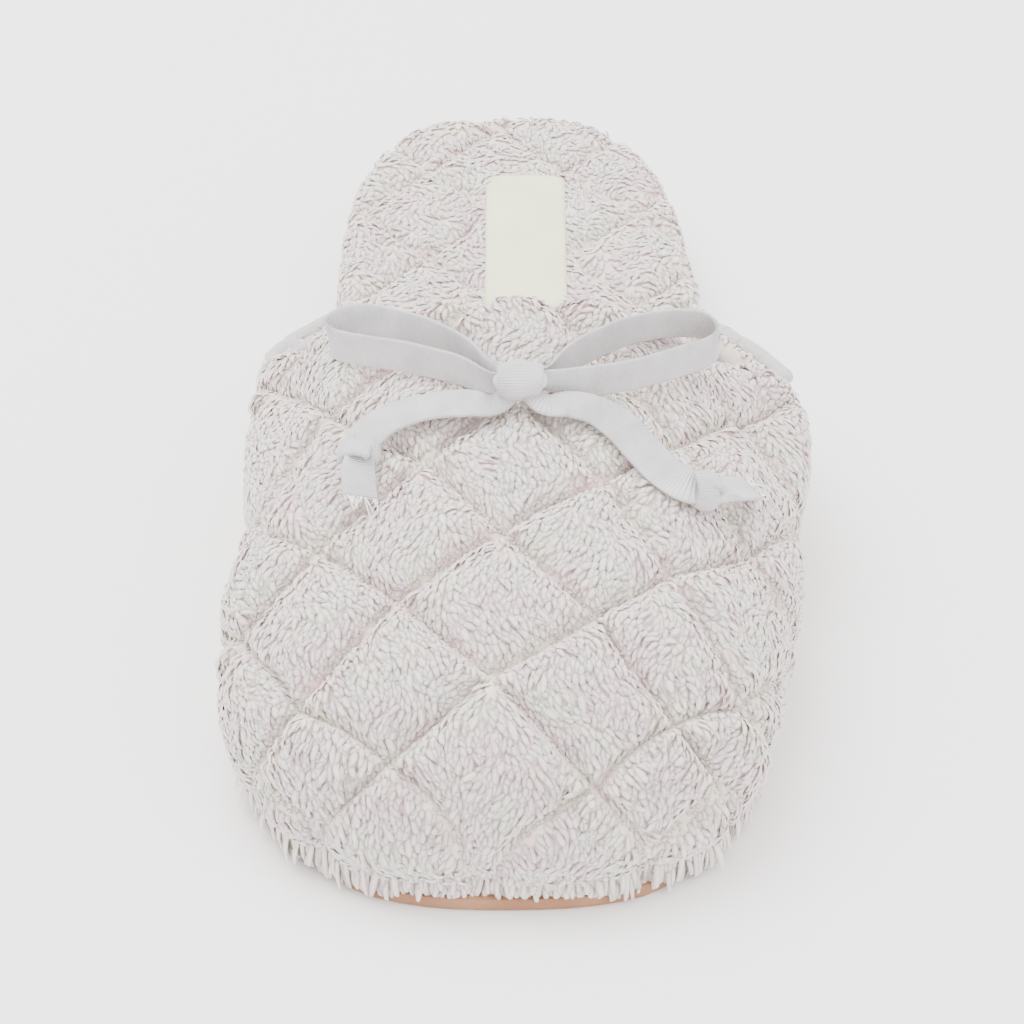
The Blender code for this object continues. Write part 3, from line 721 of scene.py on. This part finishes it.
# ---- hem: along the sole the pile is longer and hangs straight down over its edge, longest at the two
# corners of the toe. At the front of the toe it is trodden back and shows the sole.
HEM_LOW = 0.0034            # the band of the upper that the hem's pile grows from
HEM_HIGH = 0.0085
HEM_LENGTH = 0.0042
CORNER_EXTRA = 0.0030
HEM_TIP = 0.0004            # how far over the floor its tips end
BARE_LIFT = 0.0014          # how much higher they end at the front
BARE_MIDDLE = -0.0025
BARE_HALF = 0.0225


def hem_face(centre, normal):
    return (facing_out(centre, normal) > 0) & (centre[:, 2] > HEM_LOW) & (centre[:, 2] < HEM_HIGH)


at, normal, rng = scattered(skin, 0.00096, hem_face, 17)
count = len(at)
outward = normal * (1, 1, 0) / (np.linalg.norm(normal[:, :2], axis=1, keepdims=True) + 1e-9)
hang = np.array((0, 0, -1.0)) + outward * rng.normal(-0.06, 0.07, (count, 1))
hang = hang + rng.normal(0, 0.13, (count, 3))
hang /= np.linalg.norm(hang, axis=1, keepdims=True)
bare = np.clip(1 - np.abs(at[:, 0] - BARE_MIDDLE) / BARE_HALF, 0, 1) * (at[:, 1] < -0.105)
bare = np.clip(bare * 5, 0, 1)
tip = HEM_TIP + BARE_LIFT * bare + np.abs(rng.normal(0, 0.0006, count))
corner = np.clip((-0.092 - at[:, 1]) / 0.012, 0, 1) * (1 - bare)
longest = (HEM_LENGTH + CORNER_EXTRA * corner) * rng.normal(1, 0.15, count)
long = np.clip((at[:, 2] - tip) / np.abs(hang[:, 2]), 0.0012, longest)
away = outward - hang * (outward * hang).sum(axis=1, keepdims=True)
away /= np.linalg.norm(away, axis=1, keepdims=True)
tufted(
    "upper_hem_pile", at, away, hang, long, 0.0012 * rng.normal(1, 0.15, count).clip(0.6, 1.4),
    PILE * rng.normal(0.7, 0.2, count).clip(0.3, 1.2), rng.normal(0.95, 0.03, count),
)

# ---- binding: a smooth grey tape folded over the wings' top edges, from the corners of the collar back
BINDING_FRONT = 0.120
BINDING_BACK = 0.174
BINDING_STEP = 0.003
BINDING_SIDE = 0.0017       # half its width, and half its height
BINDING_TOP = 0.0016
binding_material, shader = new_material("binding_tape", 0.75, (0.50, 0.475, 0.48), Sheen_Weight=0.3)
knit = pattern(binding_material, "Noise", in_place(binding_material), Scale=1500, Detail=3)
bumped(binding_material, shader, knit.outputs["Fac"], 0.5, 0.0002)
for side, name in ((-1, "inner"), (1, "outer")):
    crest = []
    for y in np.arange(BINDING_FRONT - HALF_SOLE, BINDING_BACK - HALF_SOLE, BINDING_STEP):
        on_wing = (np.abs(cad_points[:, 1] - y) < BINDING_STEP) & (cad_points[:, 0] * side > 0.030)
        near = cad_points[on_wing]
        crest.append(Vector(near[near[:, 2].argmax()]))
    crest = smoothed(crest, 4)
    rows = []
    for k, point in enumerate(crest):
        along = (crest[min(k + 1, len(crest) - 1)] - crest[max(k - 1, 0)]).normalized()
        out = along.cross(Vector((0, 0, 1))).normalized()
        up = out.cross(along)
        swell = 0.4 + 0.6 * min(1, k / 5, (len(crest) - 1 - k) / 5)
        ripple = 1 + 0.10 * noise.noise(point * 210)
        middle = point - up * 0.0008
        ring = []
        for a in np.linspace(0, 2 * math.pi, 12, endpoint=False):
            spoke = out * (BINDING_SIDE * math.cos(a)) + up * (BINDING_TOP * math.sin(a))
            ring.append(middle + spoke * (swell * ripple))
        rows.append(ring)
    add_piece(f"collar_binding_{name}", lofted(rows), binding_material, slot="terry_plush")

# ---- footbed pad: wadding under the same terry, quilted in straight diamonds and rolled over the edge
# of the foam core. Its nap is shorter and trodden every way, and it lies flat under the label.
PAD_VOXEL = 0.0011
PAD_QUILT = 0.0030
PAD_RIDGE = 0.00035
label_low, label_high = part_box("label")
pad_skin = fine_skin("insole", PAD_VOXEL, 0)
points, normals, _ = mesh_arrays(pad_skin)
keep = np.clip((normals[:, 2] - 0.3) / 0.6, 0.05, 1)
beside = np.maximum(label_low[0] - points[:, 0], points[:, 0] - label_high[0])
beyond = np.maximum(label_low[1] - points[:, 1], points[:, 1] - label_high[1])
keep *= np.clip(np.maximum(beside, beyond) / 0.004, 0.08, 1)
ridges = matted(points)
points = quilted(points, normals, footbed_lines, SET_BACK, PAD_QUILT, keep)
points += normals * (PAD_RIDGE * ridges * (0.2 + 0.8 * keep))[:, None]
pad_skin.vertices.foreach_set("co", points.ravel())
# Painted shade and light: the cloth a little darker where it shows between the locks, darker in the hollows
# of the matted ridges and lighter on their crests.
set_shade(pad_skin, 0.92 + 0.05 * ridges)
pad = add_piece("footbed_quilted_pad", pad_skin, plush, "insole", slot="terry_plush")


def trodden_face(centre, normal):
    """What shows of the pad: its top and rolled edge behind the vamp's middle, round the label."""
    under = (centre[:, 0] > label_low[0] + 0.001) & (centre[:, 0] < label_high[0] - 0.001)
    under &= (centre[:, 1] > label_low[1] + 0.001) & (centre[:, 1] < label_high[1] - 0.001)
    return (normal[:, 2] > -0.5) & (centre[:, 1] > 0.085 - HALF_SOLE) & ~under


pile_on(
    pad, ["footbed_pile"], spacing=0.00125, length=0.0028, width=0.0013,
    lines_at=footbed_lines, wanted=trodden_face, towards=(0.15, -1.0, 0.0), swirl=1.5, seed=23,
)

# ---- footbed wrap: the foam core's side, covered in the same terry and turned under before the sole
# goes on. It shows round the heel and behind the wings.
WRAP_VOXEL = 0.0013
WRAP_RIDGE = 0.0003
core_skin = fine_skin("midsole", WRAP_VOXEL, 0)
points, normals, _ = mesh_arrays(core_skin)
ridges = matted(points)
points += normals * (WRAP_RIDGE * ridges)[:, None]
core_skin.vertices.foreach_set("co", points.ravel())
# Painted shade and light: the cloth darker where it shows between the locks, darker in the hollows of the
# matted ridges and lighter on their crests.
set_shade(core_skin, 0.90 + 0.05 * ridges)
core = add_piece("footbed_wrap", core_skin, plush, "midsole", slot="footbed_foam")


def wrap_face(centre, normal):
    """The upright side behind the wings."""
    return (np.abs(normal[:, 2]) < 0.6) & (centre[:, 1] > 0.165 - HALF_SOLE)


pile_on(
    core, ["footbed_wrap_pile"], spacing=0.00135, length=0.0030, width=0.0013,
    lines_at=plain_cloth, wanted=wrap_face, towards=(0.0, 0.15, -1.0), swirl=0.6, seed=31,
)

# ---- outsole: a thin sheet of tan rubber, matt and finely grained, with a fine dotted grip
sole_material, shader = new_material("tan_rubber", 0.62)
place = in_place(sole_material)
grain = pattern(sole_material, "Noise", place, Scale=900, Detail=5)
cloud = pattern(sole_material, "Noise", place, Scale=55)
tint = tinted(sole_material, cloud.outputs["Fac"], (0.3, (0.28, 0.130, 0.064)), (0.7, (0.38, 0.195, 0.105)))
sole_material.node_tree.links.new(tint, shader.inputs["Base Color"])
dots = pattern(sole_material, "Voronoi", place, Scale=420, Randomness=0.0)
relief = sole_material.node_tree.nodes.new("ShaderNodeMath")
relief.operation = "MULTIPLY_ADD"
relief.inputs[1].default_value = 0.35
sole_material.node_tree.links.new(grain.outputs["Fac"], relief.inputs[0])
sole_material.node_tree.links.new(dots.outputs["Distance"], relief.inputs[2])
bumped(sole_material, shader, relief.outputs["Value"], 0.35, 0.0004)
for each in nodes["outsole"].material_slots:
    each.material = sole_material

# ---- label: a blank woven tape with a satin face, cut square and tacked down with two rows of thread.
# It lies on the pad and sinks a little at its edges.
LABEL_RISE = 0.0002
LABEL_THICKNESS = 0.00035
STITCHES = 8
STITCH_INSET = 0.075        # of each row from the label's end, as a share of its half length
STITCH_RISE = 0.0001
label_material, shader = new_material("woven_label", 0.45, Sheen_Weight=0.2)
place = in_place(label_material)
weave = pattern(label_material, "Wave", place, Scale=900, Distortion=1.0)
weave.bands_direction = "DIAGONAL"
soft = pattern(label_material, "Noise", place, Scale=90)
tint = tinted(label_material, soft.outputs["Fac"], (0.3, (0.80, 0.84, 0.52)), (0.7, (0.86, 0.90, 0.60)))
label_material.node_tree.links.new(tint, shader.inputs["Base Color"])
bumped(label_material, shader, weave.outputs["Fac"], 0.4, 0.00015)
size = Vector(label_high) - Vector(label_low)
centre = Vector(label_low) + size / 2


def on_label(u, v, rise=0.0):
    """A place on the label's face: the edges dip into the pile, and the middle waves a little."""
    wave = 0.00022 * noise.noise(Vector((u * 2.2, v * 5.5, 3.0)))
    height = LABEL_RISE - 0.0008 * abs(2 * u) ** 4 - 0.0007 * abs(2 * v) ** 10 + wave
    return Vector((centre.x + u * size.x, centre.y + v * size.y, label_high[2] + height + rise))


bm = bmesh.new()
bmesh.ops.create_grid(bm, x_segments=18, y_segments=54, size=0.5, calc_uvs=True)
for vert in bm.verts:
    vert.co = on_label(vert.co.x, vert.co.y)
bmesh.ops.solidify(bm, geom=bm.faces[:], thickness=-LABEL_THICKNESS)
bmesh.ops.recalc_face_normals(bm, faces=bm.faces)
label = add_piece("label_tape", bm, label_material, "label", slot="woven_label")
thread_material, _ = new_material("label_thread", 0.6, (0.80, 0.81, 0.70))
bm = bmesh.new()
for end in (-0.5, 0.5):
    for k in range(STITCHES):
        stitch = bmesh.ops.create_uvsphere(bm, u_segments=8, v_segments=6, radius=1)["verts"]
        bmesh.ops.scale(bm, vec=(size.x / STITCHES * 0.36, 0.00022, 0.00018), verts=stitch)
        at = on_label((k + 0.5) / STITCHES - 0.5, end * (1 - STITCH_INSET), STITCH_RISE)
        bmesh.ops.translate(bm, vec=at, verts=stitch)
add_piece("label_stitches", bm, thread_material, slot="woven_label")
